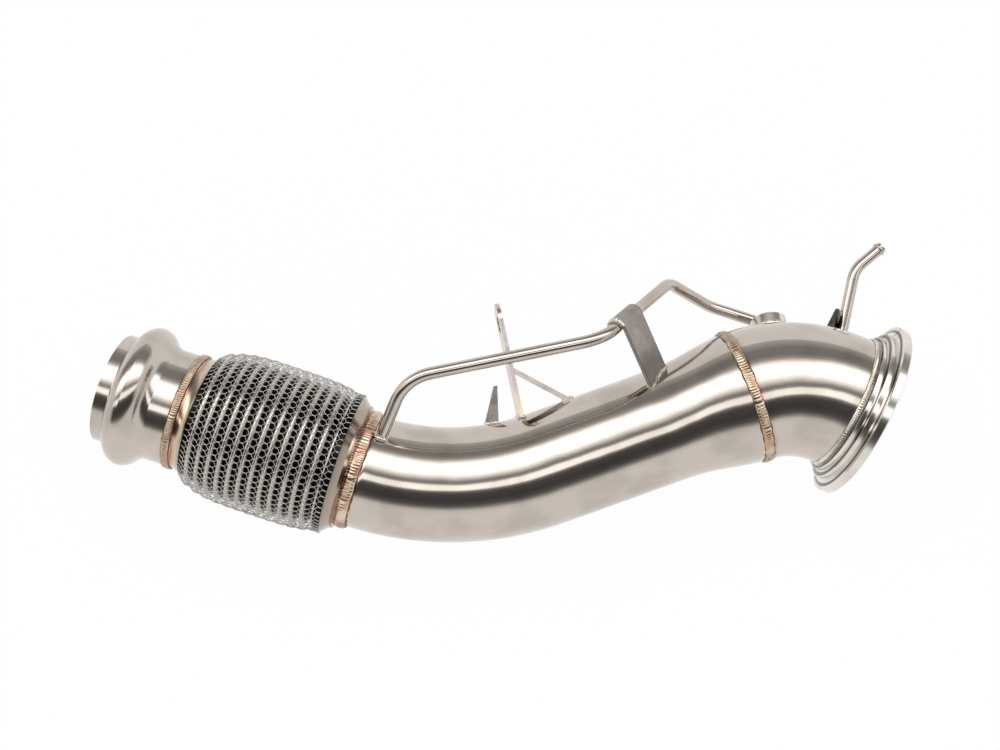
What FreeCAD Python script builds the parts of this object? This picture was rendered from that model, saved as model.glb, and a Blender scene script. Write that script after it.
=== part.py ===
# Turbo downpipe: a 3 inch stainless pipe that carries exhaust gas away from a turbocharger.
#
# The centreline lies in one plane. It is laid out there from the joint between the flexible
# section and the main pipe: x to the right, y up, z out of the plane. Places along the
# centreline are frames with z along the pipe, x to its left in the plane and y out of the plane.
# At the end the whole pipe is rolled to the attitude in which it rests on a floor, with the
# origin under the middle of its box.
import FreeCAD, Part
import math
import os
import re
import Sketcher
from FreeCAD import Placement, Rotation, Vector

SIZES = [
    # The two tube sizes, 3 inch and 3.5 inch outside, and their common wall
    ("pipe_radius", 38.1), ("large_radius", 44.45), ("wall", 1.6),
    # Centreline of the main pipe and the elbow
    ("first_heading", -18.5), ("bend_radius", 187), ("bend_turn", 38.3),
    ("run_length", 97), ("cone_length", 37), ("cone_lip", 5),
    ("elbow_radius", 86), ("elbow_turn", 45),
    # Outlet connector: a stub, a rolled flare that a clamp pulls against, and a neck
    ("connector_length", 50.5), ("stub_radius", 36.5), ("stub_length", 8),
    ("flare_radius", 47.5), ("flare_foot", 38.8), ("flare_crest", 18.5), ("neck_start", 35),
    ("flare_step", 0.6), ("flare_swell", 5.8), ("flare_swell_run", 4),
    ("flare_fall", 1.2), ("flare_fall_run", 5), ("neck_rise", 4), ("neck_run", 6.5),
    ("neck_curve", 1.1), ("neck_curve_run", 3.2),
    # Flexible section between its two welds
    ("flex_length", 121.5), ("rib_pitch", 7.2), ("first_rib_gap", 6.3), ("last_rib_gap", 5.2),
    ("rib_half_width", 1.94),
    ("braid_radius", 50.6), ("outlet_drop", 5), ("inlet_drop", 3), ("braid_wall", 0.9),
    ("rib_height", 0.8), ("gaps_around", 8), ("gap_length", 3.4), ("gap_width", 26),
    ("braid_start", 10.9), ("inlet_reach", 12.7),
    ("outlet_rim", 40.8), ("inlet_rim", 47.2), ("collar_wall", 1.4), ("collar_lip", 4), ("collar_curve", 0.7),
    ("shoulder_rise", 3.8), ("shoulder_run", 1.6), ("shoulder_crest", 4.6), ("shoulder_width", 4),
    ("bellows_wall", 0.6), ("cuff_gap", 0.2), ("cuff_setback", 1), ("fold_depth", 5.4), ("liner_wall", 0.8), ("liner_setback", 2),
    # Weld beads: how wide and how proud
    ("outlet_bead_width", 4.4), ("outlet_bead_height", 1.5),
    ("joint_bead_width", 5.6), ("joint_bead_height", 2),
    ("elbow_bead_width", 6.8), ("elbow_bead_height", 1.2),
    ("flange_bead_width", 3.2), ("flange_bead_height", 1), ("small_bead", 1.7),
    # Turbo flange, turned from bar: a lip, a step and a rim with a clamp cone on its back
    ("flange_length", 16), ("flange_rim_radius", 59.5), ("flange_rim_width", 5.4),
    ("flange_lip_radius", 48), ("flange_lip_width", 3.6),
    ("flange_step_radius", 52.5), ("flange_step_width", 4), ("flange_edge", 0.8), ("pilot_radius", 47), ("pilot_depth", 2.5),
    # Sensor boss, M18 x 1.5
    ("boss_station", 16.5), ("boss_clock", -28), ("boss_radius", 12), ("boss_height", 9),
    ("boss_bore_radius", 8.25), ("boss_chamfer", 1),
    # Pressure tube
    ("line_radius", 4), ("line_wall", 1), ("line_foot_station", 2.8), ("line_foot_clock", 44),
    ("first_line_bend", 30), ("second_line_bend", 30), ("top_line_bend", 13),
    ("descent_line_bend", 30), ("hidden_line_bend", 14), ("last_line_bend", 20),
    ("tip_bead", 0.9), ("tip_bead_width", 2.4), ("tip_setback", 1.5),
    # Strap that carries the pressure tube
    ("strap_station", 90.5), ("strap_seat", 27.5), ("strap_clock", 24), ("strap_width", 23),
    ("strap_thickness", 2.2), ("strap_reach", 60), ("strap_gap", 0.1),
    # Clip behind the elbow that carries the end of the pressure tube
    ("clip_station", 37), ("clip_clock", -33), ("clip_width", 12), ("clip_thickness", 3),
    ("clip_seat", 22), ("clip_overhang", 0),
    # Hanger: a slotted plate, its strut and a small side tab
    ("hanger_station", 36.5), ("hanger_height", 76), ("hanger_width", 24),
    ("hanger_thickness", 2.6), ("hanger_twist", 5), ("hanger_lean", 6), ("hanger_hole_radius", 5.5),
    ("hanger_hole_drop", 14), ("strut_thickness", 3.4), ("strut_width", 14),
    ("strut_height", 32), ("strut_station", 28.5),
    ("tab_station", 29), ("tab_clock", -6), ("tab_base", 9.5), ("tab_height", 24), ("tab_reach", 3.5),
    ("tab_tip", 2.6),
    ("tab_thickness", 3), ("embed", 6),
    # Attitude at rest
    ("rest_roll", 2.335), ("rest_pitch", -1.066),
]

# Corners of the pressure tube's route, each from a point of the pipe's centreline
LINE_CORNERS = {
    "first": ("line_foot", (23.6, 63.5, 42)),
    "second": ("strap_foot", (-50.5, 54.0, 44)),
    "top": ("strap_foot", (-1.4, 93.1, -18)),
    "descent": ("elbow_weld", (-16.6, 61.9, -38)),
    "hidden": ("flange_weld", (12.0, 36.6, -55)),
    "last": ("flange_weld", (24.3, 92.3, -58)),
    "tip": ("flange_weld", (43.7, 108.3, -60)),
}

doc = FreeCAD.newDocument("turbo_downpipe")
sheet = doc.addObject("Spreadsheet::Sheet", "Sizes")
for row, (name, value) in enumerate(SIZES, start=1):
    sheet.set(f"A{row}", name)
    sheet.set(f"B{row}", str(value))
    sheet.setAlias(f"B{row}", name)
doc.recompute()

SIZE_NAMES = re.compile("|".join(rf"\b{name}\b" for name, value in SIZES))
nodes = []
placed = []


def size(text):
    """The number that an expression on the sheet's names gives now."""
    return float(sheet.evalExpression(text))


def bound(text):
    """The same expression with the sheet's name before each of its cells."""
    return SIZE_NAMES.sub(lambda match: "Sizes." + match.group(), text)


def put(item, place):
    """Remembers where an object goes in the pipe's plane. Its Placement is set when all are made."""
    placed.append((item, place))
    return item


def node(item, label):
    """Names an object as one of the pieces that are written out."""
    item.Label = label
    nodes.append(item)
    return item


# Frames along the centreline

def turn_about(axis, angle):
    return Placement(Vector(), Rotation(axis, angle))


def shift(x, y, z):
    return Placement(Vector(x, y, z), Rotation())


def along(place, distance):
    return place * shift(0, 0, distance)


def bent(place, radius, angle):
    """The frame after a bend, to the left where the angle is positive."""
    side = math.copysign(radius, angle)
    return place * shift(side, 0, 0) * turn_about(Vector(0, 1, 0), angle) * shift(-side, 0, 0)


def outward(place, clock, radius):
    """A frame on the pipe's skin: z out of it, x along the pipe. Clock 0 is left, 90 out of the plane."""
    facing = Rotation(Vector(0, 0, 1), Vector(0, 1, 0), Vector(1, 0, 0), "ZXY")
    return place * turn_about(Vector(0, 0, 1), clock) * shift(radius, 0, 0) * Placement(Vector(), facing)


heading = math.radians(size("first_heading"))
joint = Placement(
    Vector(),
    Rotation(
        Vector(-math.sin(heading), math.cos(heading), 0),
        Vector(0, 0, 1),
        Vector(math.cos(heading), math.sin(heading), 0),
        "ZXY",
    ),
)
flex_start = along(joint, -size("flex_length"))
outlet_end = along(flex_start, -size("connector_length"))
bend_end = bent(joint, size("bend_radius"), size("bend_turn"))
cone_start = along(bend_end, size("run_length"))
elbow_weld = along(cone_start, size("cone_length + cone_lip"))
flange_weld = bent(elbow_weld, size("elbow_radius"), -size("elbow_turn"))


def on_bend(angle):
    return bent(joint, size("bend_radius"), angle)


def on_elbow(angle):
    return bent(elbow_weld, size("elbow_radius"), -angle)


# Turned pieces: a closed outline of (radius, distance along) turned about the pipe's axis

def outline_sketch(body, plane, outline):
    """Draws a closed outline. A corner is two expressions; ("via", x, y) bends the edge that it splits."""
    sketch = body.newObject("Sketcher::SketchObject", "outline")
    support = [part for part in body.Origin.OriginFeatures if part.Role == plane][0]
    sketch.AttachmentSupport = [(support, "")]
    sketch.MapMode = "FlatFace"
    corners = [item for item in outline if item[0] != "via"]
    vias = {}
    before = -1
    for item in outline:
        if item[0] == "via":
            vias[before] = item[1:]
        else:
            before += 1
    points = [Vector(size(x), size(y), 0) for x, y in corners]
    ends = []
    for index, start in enumerate(points):
        end = points[(index + 1) % len(points)]
        forward = True
        if index in vias:
            middle = Vector(size(vias[index][0]), size(vias[index][1]), 0)
            forward = (middle - start).cross(end - middle).z > 0
            curve = Part.ArcOfCircle(start, middle, end) if forward else Part.ArcOfCircle(end, middle, start)
        else:
            curve = Part.LineSegment(start, end)
        sketch.addGeometry(curve, False)
        ends.append((1, 2) if forward else (2, 1))
    for index, (x, y) in enumerate(corners):
        following = (index + 1) % len(corners)
        join = Sketcher.Constraint("Coincident", index, ends[index][1], following, ends[following][0])
        sketch.addConstraint(join)
        fix_point(sketch, index, ends[index][0], x, y)
    for index, (x, y) in vias.items():
        marker = sketch.addGeometry(Part.Point(Vector(size(x), size(y), 0)), True)
        fix_point(sketch, marker, 1, x, y)
        sketch.addConstraint(Sketcher.Constraint("PointOnObject", marker, 1, index))
    return sketch


def fix_point(sketch, geometry, end, x, y):
    """Ties a point's two distances from the sketch's origin to the sheet."""
    for kind, text in (("DistanceX", x), ("DistanceY", y)):
        number = sketch.addConstraint(Sketcher.Constraint(kind, -1, 1, geometry, end, size(text)))
        sketch.setExpression(f"Constraints[{number}]", bound(text))


def turned(label, outline, place):
    body = doc.addObject("PartDesign::Body", label)
    sketch = outline_sketch(body, "XZ_Plane", outline)
    feature = body.newObject("PartDesign::Revolution", "turn")
    feature.Profile = sketch
    feature.ReferenceAxis = (sketch, ["V_Axis"])
    feature.Angle = 360
    body.Tip = feature
    return put(body, place)


def padded(label, outline, length, place):
    """A flat piece: its outline in the frame's x and y, with its thickness centred on the frame."""
    body = doc.addObject("PartDesign::Body", label)
    sketch = outline_sketch(body, "XY_Plane", outline)
    feature = body.newObject("PartDesign::Pad", "plate")
    feature.Profile = sketch
    feature.Midplane = True
    feature.setExpression("Length", bound(length))
    body.Tip = feature
    return put(body, place)


def primitive(kind, place, **sizes):
    item = doc.addObject("Part::" + kind, kind.lower())
    for name, text in sizes.items():
        item.setExpression(name, bound(text))
    return put(item, place)


def bead_ring(label, radius, width, height, place, *tools):
    """A weld bead round the pipe, centred on its joint and trimmed by the bend that it lies on."""
    outline = [
        (radius, "0"),
        ("via", f"{radius} + {height}", f"{width} / 2"),
        (radius, width),
    ]
    ring = turned(label + "_ring", outline, along(place, -size(width) / 2))
    return node(cut(label, ring, *tools), label)


def joined(*items):
    item = doc.addObject("Part::MultiFuse", "joined")
    item.Shapes = list(items)
    item.Refine = True
    return item


def cut(label, base, *tools):
    """The base less each tool. The pieces keep their own places, so the cut needs none."""
    item = base
    for tool in tools:
        step = doc.addObject("Part::Cut", label + "_cut")
        step.Base = item
        step.Tool = tool
        item = step
    return item


# Bent tube: a sector of a ring, with straight and conical lengths

def ring_sector(place, radius, tube_radius, angle, side):
    """A solid bend that starts at a frame, to the left where side is 1 and to the right where it is -1."""
    facing = Rotation(Vector(-side, 0, 0), Vector(0, 0, 1), Vector(0, side, 0), "XYZ")
    start = place * shift(side * size(radius), 0, 0) * Placement(Vector(), facing)
    return primitive("Torus", start, Radius1=radius, Radius2=tube_radius, Angle3=angle)


def main_solid(less):
    """The main pipe as a solid rod, with its radii less a wall."""
    small, large = f"pipe_radius - {less}", f"large_radius - {less}"
    lip = along(cone_start, size("cone_length"))
    return joined(
        ring_sector(joint, "bend_radius", small, "bend_turn", 1),
        primitive("Cylinder", bend_end, Radius=small, Height="run_length"),
        primitive("Cone", cone_start, Radius1=small, Radius2=large, Height="cone_length"),
        primitive("Cylinder", lip, Radius=large, Height="cone_lip"),
    )


main_skin = main_solid("0")
main_bore = main_solid("wall")
elbow_skin = ring_sector(elbow_weld, "elbow_radius", "large_radius", "elbow_turn", -1)
elbow_bore = ring_sector(elbow_weld, "elbow_radius", "large_radius - wall", "elbow_turn", -1)

# Main pipe, with the hole under the pressure tube's foot

line_foot = outward(on_bend(size("line_foot_station")), size("line_foot_clock"), size("pipe_radius"))
line_hole = primitive(
    "Cylinder", along(line_foot, -size("embed")), Radius="line_radius - line_wall", Height="2 * embed"
)
node(cut("main_pipe", main_skin, main_bore, line_hole), "main_pipe")

# Elbow, with the hole under the sensor boss

boss_frame = outward(on_elbow(size("boss_station")), size("boss_clock"), size("large_radius"))
boss_hole = primitive(
    "Cylinder", along(boss_frame, -size("embed")), Radius="boss_bore_radius", Height="2 * embed"
)
node(cut("elbow", elbow_skin, elbow_bore, boss_hole), "elbow")

# Weld beads round the pipe

bead_ring("outlet_weld", "pipe_radius", "outlet_bead_width", "outlet_bead_height", flex_start)
joint_bead = bead_ring("joint_weld", "pipe_radius", "joint_bead_width", "joint_bead_height", joint, main_skin)
bead_ring("elbow_weld", "large_radius", "elbow_bead_width", "elbow_bead_height", elbow_weld, elbow_skin)
bead_ring("flange_weld", "large_radius", "flange_bead_width", "flange_bead_height", flange_weld, elbow_skin)

# Outlet connector, spun from one length of tube

connector_outline = [
    ("stub_radius", "0"),
    ("stub_radius", "stub_length"),
    ("flare_foot", "stub_length + flare_step"),
    ("via", "flare_foot + flare_swell", "stub_length + flare_swell_run"),
    ("flare_radius", "flare_crest"),
    ("via", "flare_radius - flare_fall", "flare_crest + flare_fall_run"),
    ("pipe_radius + neck_rise", "neck_start - neck_run"),
    ("via", "pipe_radius + neck_curve", "neck_start - neck_curve_run"),
    ("pipe_radius", "neck_start"),
    ("pipe_radius", "connector_length"),
    ("pipe_radius - wall", "connector_length"),
    ("pipe_radius - wall", "neck_start - 0.6 * wall"),
    ("pipe_radius + neck_rise - 1.6 * wall", "neck_start - neck_run"),
    ("flare_radius - flare_fall - 1.6 * wall", "flare_crest + flare_fall_run"),
    ("flare_radius - wall", "flare_crest + wall"),
    ("flare_radius - wall", "flare_crest - wall"),
    ("flare_foot + flare_swell - 2.4 * wall", "stub_length + flare_swell_run + wall / 4"),
    ("flare_foot - wall", "stub_length + flare_step + wall"),
    ("stub_radius - wall", "stub_length + wall"),
    ("stub_radius - wall", "0"),
]
node(turned("outlet_connector", connector_outline, outlet_end), "outlet_connector")

# Collars that clamp the ends of the flexible section

braid_end = "(flex_length - inlet_reach)"

outlet_collar = [
    ("pipe_radius", "0"),
    ("pipe_radius", "collar_lip"),
    ("via", "pipe_radius + collar_curve", "(collar_lip + braid_start) / 2"),
    ("outlet_rim", "braid_start"),
    ("outlet_rim", "braid_start + collar_lip"),
    ("outlet_rim - collar_wall", "braid_start + collar_lip"),
    ("outlet_rim - collar_wall", "braid_start + collar_wall / 2"),
    ("pipe_radius - collar_wall", "collar_lip"),
    ("pipe_radius - collar_wall", "0"),
]
node(turned("outlet_collar", outlet_collar, flex_start), "outlet_collar")

inlet_collar = [
    ("pipe_radius", "flex_length"),
    ("pipe_radius", "flex_length - collar_lip"),
    ("pipe_radius + shoulder_rise", "flex_length - collar_lip - shoulder_run"),
    ("pipe_radius + shoulder_crest", "flex_length - collar_lip - shoulder_width"),
    ("inlet_rim", braid_end),
    ("inlet_rim", f"{braid_end} - collar_lip"),
    ("inlet_rim - collar_wall", f"{braid_end} - collar_lip"),
    ("inlet_rim - collar_wall", f"{braid_end} - collar_wall / 2"),
    ("pipe_radius + shoulder_crest - 1.4 * collar_wall", "flex_length - collar_lip - shoulder_width - 0.4 * collar_wall"),
    ("pipe_radius - collar_wall", "flex_length - collar_lip - shoulder_run - 0.6 * collar_wall"),
    ("pipe_radius - collar_wall", "flex_length"),
]
node(turned("inlet_collar", inlet_collar, flex_start), "inlet_collar")


# Flexible section: an interlocked liner, a folded bellows and a knitted wire braid over it

liner_outline = [
    ("pipe_radius - collar_wall - liner_wall", "liner_setback"),
    ("pipe_radius - collar_wall", "liner_setback"),
    ("pipe_radius - collar_wall", "flex_length - liner_setback"),
    ("pipe_radius - collar_wall - liner_wall", "flex_length - liner_setback"),
]
node(turned("flex_liner", liner_outline, flex_start), "flex_liner")


def drop(index):
    """How much lower than the middle rib a rib lies: the braid's ends close in on the collars."""
    middle = (rib_count - 1) / 2
    share = round(abs((index - middle) / middle) ** 4, 4)
    return f"{share} * outlet_drop" if index < middle else f"{share} * inlet_drop"


def rib(index):
    return f"braid_start + first_rib_gap + {index} * rib_pitch"


rib_room = size(f"{braid_end} - last_rib_gap - ({rib(0)})")
rib_count = int(rib_room / size("rib_pitch") + 0.001) + 1
ribs = range(rib_count)
under_braid = "braid_radius - braid_wall"
ridges = []
for index in ribs:
    low, high = f"braid_radius - {drop(index)}", f"braid_radius + rib_height - {drop(index)}"
    ridges += [(low, f"{rib(index)} - rib_half_width"), (high, rib(index))]
    ridges += [(low, f"{rib(index)} + rib_half_width")]
inner_ribs = sorted({ribs[0], ribs[1], ribs[3], ribs[len(ribs) // 2], ribs[-4], ribs[-2], ribs[-1]})
braid_outline = (
    [("outlet_rim", "braid_start"), ("outlet_rim + braid_wall", "braid_start")]
    + ridges
    + [("inlet_rim + braid_wall", braid_end)]
    + [("inlet_rim", braid_end), ("inlet_rim", f"{braid_end} - collar_lip")]
    + [(f"{under_braid} - {drop(index)}", rib(index)) for index in reversed(inner_ribs)]
    + [("outlet_rim", "braid_start + braid_wall")]
)
sleeve = turned("braid_sleeve", braid_outline, flex_start)


def braid_gaps():
    """Staggered openings in the troughs between the ribs, as one tool."""
    blocks = []
    around = int(size("gaps_around"))
    inner = size("braid_radius - outlet_drop - 3 * braid_wall")
    for row in ribs[:-1]:
        middle = size(f"{rib(row)} + 0.5 * rib_pitch")
        for index in range(around):
            block = Part.makeBox(size("outlet_drop + 6 * braid_wall"), size("gap_width"), size("gap_length"))
            block.translate(Vector(inner, -size("gap_width") / 2, middle - size("gap_length") / 2))
            turn = 360 * (index + 0.5 * (row % 2)) / around
            block.rotate(Vector(), Vector(0, 0, 1), turn)
            blocks.append(block)
    return Part.makeCompound(blocks)


gaps = put(doc.addObject("Part::Feature", "braid_gaps"), flex_start)
gaps.Shape = braid_gaps()
node(cut("flex_braid", sleeve, gaps), "flex_braid")

bellows_top = "inlet_rim - collar_wall + inlet_drop"
outlet_cuff = "outlet_rim - collar_wall"
inlet_cuff = "inlet_rim - collar_wall"


def folds(inside):
    """Corners of the folds, in step with the braid's ribs, from the outlet end to the inlet end."""
    points = []
    for index in ribs:
        points += [(f"{bellows_top} - {drop(index)} - {inside}", rib(index))]
        trough = f"{bellows_top} - fold_depth - {drop(index)} - {inside}"
        points += [(trough, f"{rib(index)} + 0.5 * rib_pitch")]
    return points[:-1]


bellows_outline = (
    [(f"{outlet_cuff} - bellows_wall", "braid_start + cuff_setback"), (outlet_cuff, "braid_start + cuff_setback")]
    + [(outlet_cuff, "braid_start + collar_lip + cuff_gap")]
    + folds("0")
    + [(inlet_cuff, f"{braid_end} - cuff_setback"), (f"{inlet_cuff} - bellows_wall", f"{braid_end} - cuff_setback")]
    + folds("bellows_wall")[::-1]
    + [(f"{outlet_cuff} - bellows_wall", "braid_start + collar_lip + cuff_gap + bellows_wall")]
)
node(turned("flex_bellows", bellows_outline, flex_start), "flex_bellows")

# Turbo flange

flange_outline = [
    ("large_radius - wall", "0"),
    ("large_radius", "0"),
    ("large_radius", "flange_bead_width / 2"),
    ("flange_lip_radius", "flange_bead_width / 2 + flange_edge"),
    ("flange_lip_radius", "flange_bead_width / 2 + flange_lip_width"),
    ("flange_step_radius", "flange_bead_width / 2 + flange_lip_width + flange_edge"),
    ("flange_step_radius", "flange_bead_width / 2 + flange_lip_width + flange_step_width"),
    ("flange_rim_radius", "flange_length - flange_rim_width"),
    ("flange_rim_radius", "flange_length - flange_edge"),
    ("flange_rim_radius - flange_edge", "flange_length"),
    ("pilot_radius", "flange_length"),
    ("pilot_radius", "flange_length - pilot_depth"),
    ("large_radius - wall", "flange_length - pilot_depth"),
]
node(turned("turbo_flange", flange_outline, flange_weld), "turbo_flange")

# Sensor boss: seated on the elbow's skin, with a threaded bore

boss_outline = [
    ("boss_bore_radius", "-embed"),
    ("boss_radius", "-embed"),
    ("boss_radius", "boss_height - boss_chamfer"),
    ("boss_radius - boss_chamfer", "boss_height"),
    ("boss_bore_radius + boss_chamfer", "boss_height"),
    ("boss_bore_radius", "boss_height - boss_chamfer"),
]
boss_blank = turned("boss_blank", boss_outline, boss_frame)
node(cut("sensor_boss", boss_blank, elbow_skin), "sensor_boss")


def foot_bead(label, radius, place, *tools):
    """A round bead at the foot of a tube or boss, trimmed by what it lies on."""
    ring = primitive("Torus", place, Radius1=radius, Radius2="small_bead")
    return node(cut(label, ring, *tools), label)


boss_core = primitive("Cylinder", along(boss_frame, -size("embed")), Radius="boss_radius", Height="3 * embed")
foot_bead("boss_weld", "boss_radius + small_bead / 4", boss_frame, elbow_skin, boss_core)

# Pressure tube: from a hole in the main pipe, over its strap and behind the elbow to a hose end

strap_foot = along(bend_end, size("strap_station"))
ANCHORS = {
    "line_foot": on_bend(size("line_foot_station")),
    "strap_foot": strap_foot,
    "elbow_weld": elbow_weld,
    "flange_weld": flange_weld,
}


def corner(name):
    anchor, offset = LINE_CORNERS[name]
    return ANCHORS[anchor].Base + Vector(*offset)


def rounded_path(points, radii):
    """Straight runs joined by arcs that touch them, one radius for each corner between the ends."""
    edges = []
    start = points[0]
    for before, middle, after, radius in zip(points, points[1:], points[2:], radii):
        arrive = (middle - before).normalize()
        leave = (after - middle).normalize()
        reach = radius * math.tan(arrive.getAngle(leave) / 2)
        first, last = middle - arrive * reach, middle + leave * reach
        inward = (leave - arrive).normalize()
        centre = middle + inward * math.hypot(radius, reach)
        edges.append(Part.LineSegment(start, first).toShape())
        edges.append(Part.Arc(first, centre - inward * radius, last).toShape())
        start = last
    edges.append(Part.LineSegment(start, points[-1]).toShape())
    return Part.Wire(edges)


def swept(path, points, radius):
    """A round rod along a path."""
    section = Part.Wire(Part.makeCircle(radius, points[0], points[1] - points[0]))
    return path.makePipe(Part.Face(section))


foot_centre = line_foot.Base
foot_start = foot_centre - (corner("first") - foot_centre).normalize() * size("embed")
line_points = [foot_start] + [corner(name) for name in LINE_CORNERS]
line_bends = [
    size(name)
    for name in (
        "first_line_bend", "second_line_bend", "top_line_bend",
        "descent_line_bend", "hidden_line_bend", "last_line_bend",
    )
]
line_path = rounded_path(line_points, line_bends)
line_rod = put(doc.addObject("Part::Feature", "line_rod"), Placement())
line_rod.Shape = swept(line_path, line_points, size("line_radius"))
line_hollow = put(doc.addObject("Part::Feature", "line_hollow"), Placement())
line_hollow.Shape = swept(line_path, line_points, size("line_radius - line_wall"))

tip = line_points[-1]
tip_axis = (tip - line_points[-2]).normalize()
tip_frame = Placement(tip - tip_axis * size("tip_setback + tip_bead_width"), Rotation(Vector(0, 0, 1), tip_axis))
tip_outline = [
    ("line_radius - line_wall / 2", "0"),
    ("line_radius", "0"),
    ("via", "line_radius + tip_bead", "tip_bead_width / 2"),
    ("line_radius", "tip_bead_width"),
    ("line_radius - line_wall / 2", "tip_bead_width"),
]
tip_ring = turned("tip_ring", tip_outline, tip_frame)
node(cut("pressure_tube", joined(line_rod, tip_ring), line_hollow, main_skin), "pressure_tube")
foot_frame = Placement(foot_centre, Rotation(Vector(0, 0, 1), (corner("first") - foot_centre).normalize()))
foot_bead("tube_foot_weld", "line_radius", foot_frame, main_skin, line_rod, joint_bead)

# Strap: a flat strip hooked over the pressure tube and welded to the main pipe

strap_axis = (corner("top") - corner("second")).normalize()
strap_seat = corner("second") + strap_axis * size("strap_seat")
strap_side = outward(bend_end, size("strap_clock"), size("pipe_radius"))
run_axis = bend_end.Rotation.multVec(Vector(0, 0, 1))
square_run = (strap_seat - strap_side.Base).dot(strap_axis) / run_axis.dot(strap_axis)
strap_leg = (strap_side.Base + run_axis * square_run - strap_seat).normalize()
strap_frame = Placement(strap_seat, Rotation(strap_leg.cross(strap_axis), strap_leg, strap_axis, "ZYX"))
strap_outline = [
    ("line_radius + strap_gap", "strap_reach"),
    ("line_radius + strap_gap", "0"),
    ("via", "0", "-line_radius - strap_gap"),
    ("-line_radius - strap_gap", "0"),
    ("-line_radius - strap_gap - strap_thickness", "0"),
    ("via", "0", "-line_radius - strap_gap - strap_thickness"),
    ("line_radius + strap_gap + strap_thickness", "0"),
    ("line_radius + strap_gap + strap_thickness", "strap_reach"),
]
strap_blank = padded("strap_blank", strap_outline, "strap_width", strap_frame)
node(cut("tube_strap", strap_blank, main_skin), "tube_strap")



def on_skin(start, direction, frame, radius):
    """Where a line from a point first meets a straight pipe's skin."""
    axis = frame.Rotation.multVec(Vector(0, 0, 1))
    off = start - frame.Base
    across, step = off - axis * off.dot(axis), direction - axis * direction.dot(axis)
    a, b, c = step.dot(step), across.dot(step), across.dot(across) - radius ** 2
    return start + direction * ((-b - math.sqrt(b * b - a * c)) / a)


def seam_bead(label, seams, *tools):
    """Round beads laid along lines of two points or arcs of three, trimmed by the pieces they join."""
    beads = []
    for points in seams:
        edge = Part.LineSegment(*points) if len(points) == 2 else Part.Arc(*points)
        path = Part.Wire(edge.toShape())
        start = edge.StartPoint
        section = Part.makeCircle(size("small_bead"), start, edge.tangent(edge.FirstParameter)[0])
        beads.append(path.makePipe(Part.Face(Part.Wire(section))))
    item = put(doc.addObject("Part::Feature", label + "_beads"), Placement())
    item.Shape = Part.makeCompound(beads)
    return node(cut(label, item, *tools), label)


def leg_seam(start, direction, width_axis, width, face_axis, face, frame):
    """Three points where one face of a strip that leans on the straight pipe meets its skin."""
    points = []
    for share in (-0.5, 0, 0.5):
        place = start + width_axis * share * width + face_axis * face
        points.append(on_skin(place, direction, frame, size("pipe_radius")))
    return points


strap_face = strap_frame.Rotation.multVec(Vector(1, 0, 0))
strap_faces = [size("line_radius + strap_gap"), size("line_radius + strap_gap + strap_thickness")]
strap_seams = [
    leg_seam(strap_seat, strap_leg, strap_axis, size("strap_width"), strap_face, face, strap_foot)
    for face in strap_faces
]
seam_bead("strap_foot_weld", strap_seams, main_skin, strap_blank)
strap_end = strap_frame * shift(0, 0, -size("strap_width / 2"))
bead_reach = size("line_radius + strap_gap + small_bead / 2")
strap_edge = [
    (strap_end * shift(bead_reach * side, bead_reach * up, 0)).Base
    for side, up in ((1, 0), (0, -1), (-1, 0))
]
seam_bead("strap_tube_weld", [strap_edge], line_rod, strap_blank)

# Hanger: a slotted plate that stands on the main pipe's back, with a strut and a side tab

hanger_foot = outward(on_bend(size("hanger_station")), 0, size("pipe_radius"))
hanger_stand = hanger_foot * turn_about(Vector(0, 1, 0), size("hanger_lean"))
hanger_frame = hanger_stand * turn_about(Vector(0, 0, 1), size("hanger_twist"))
across = turn_about(Vector(0, 1, 0), -90)
hanger_outline = [
    ("-embed", "-hanger_width / 2"),
    ("hanger_height - hanger_width / 2", "-hanger_width / 2"),
    ("via", "hanger_height", "0"),
    ("hanger_height - hanger_width / 2", "hanger_width / 2"),
    ("-embed", "hanger_width / 2"),
]
hanger_blank = padded("hanger_blank", hanger_outline, "hanger_thickness", hanger_frame * across)
hanger_hole_frame = (
    hanger_frame
    * shift(-size("hanger_thickness"), 0, size("hanger_height - hanger_hole_drop"))
    * turn_about(Vector(0, 1, 0), 90)
)
hanger_hole = primitive(
    "Cylinder", hanger_hole_frame, Radius="hanger_hole_radius", Height="2 * hanger_thickness"
)
node(cut("hanger_plate", hanger_blank, main_skin, hanger_hole), "hanger_plate")


def hanger_seam(side):
    """The line where one face of the hanger's plate meets the main pipe."""
    points = []
    for share in (-0.5, 0, 0.5):
        across_pipe = share * size("hanger_width")
        height = math.sqrt(size("pipe_radius") ** 2 - across_pipe ** 2) - size("pipe_radius")
        points.append((hanger_frame * shift(side * size("hanger_thickness") / 2, across_pipe, height)).Base)
    return points


seam_bead("hanger_weld", [hanger_seam(1), hanger_seam(-1)], main_skin, hanger_blank)

strut_top = (hanger_stand * shift(0, 0, size("strut_height"))).Base
strut_foot = outward(along(bend_end, size("strut_station")), 0, size("pipe_radius")).Base
strut_axis = (strut_foot - strut_top).normalize()
strut_frame = Placement(strut_top, Rotation(Vector(0, 0, 1).cross(strut_axis), Vector(0, 0, 1), strut_axis, "ZYX"))
strut_start = size("strut_thickness / 2")
strut_length = (strut_foot - strut_top).Length + size("embed") - strut_start
strut_blank = primitive(
    "Box", strut_frame * shift(-size("strut_thickness") / 2, -size("strut_width") / 2, strut_start),
    Length="strut_thickness", Width="strut_width",
)
strut_blank.Height = strut_length
node(cut("hanger_strut", strut_blank, main_skin, hanger_blank), "hanger_strut")
strut_face = strut_frame.Rotation.multVec(Vector(1, 0, 0))
strut_seams = [
    leg_seam(strut_top, strut_axis, Vector(0, 0, 1), size("strut_width"), strut_face, face, bend_end)
    for face in (size("strut_thickness / 2"), -size("strut_thickness / 2"))
]
seam_bead("strut_weld", strut_seams, main_skin, strut_blank)

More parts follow.
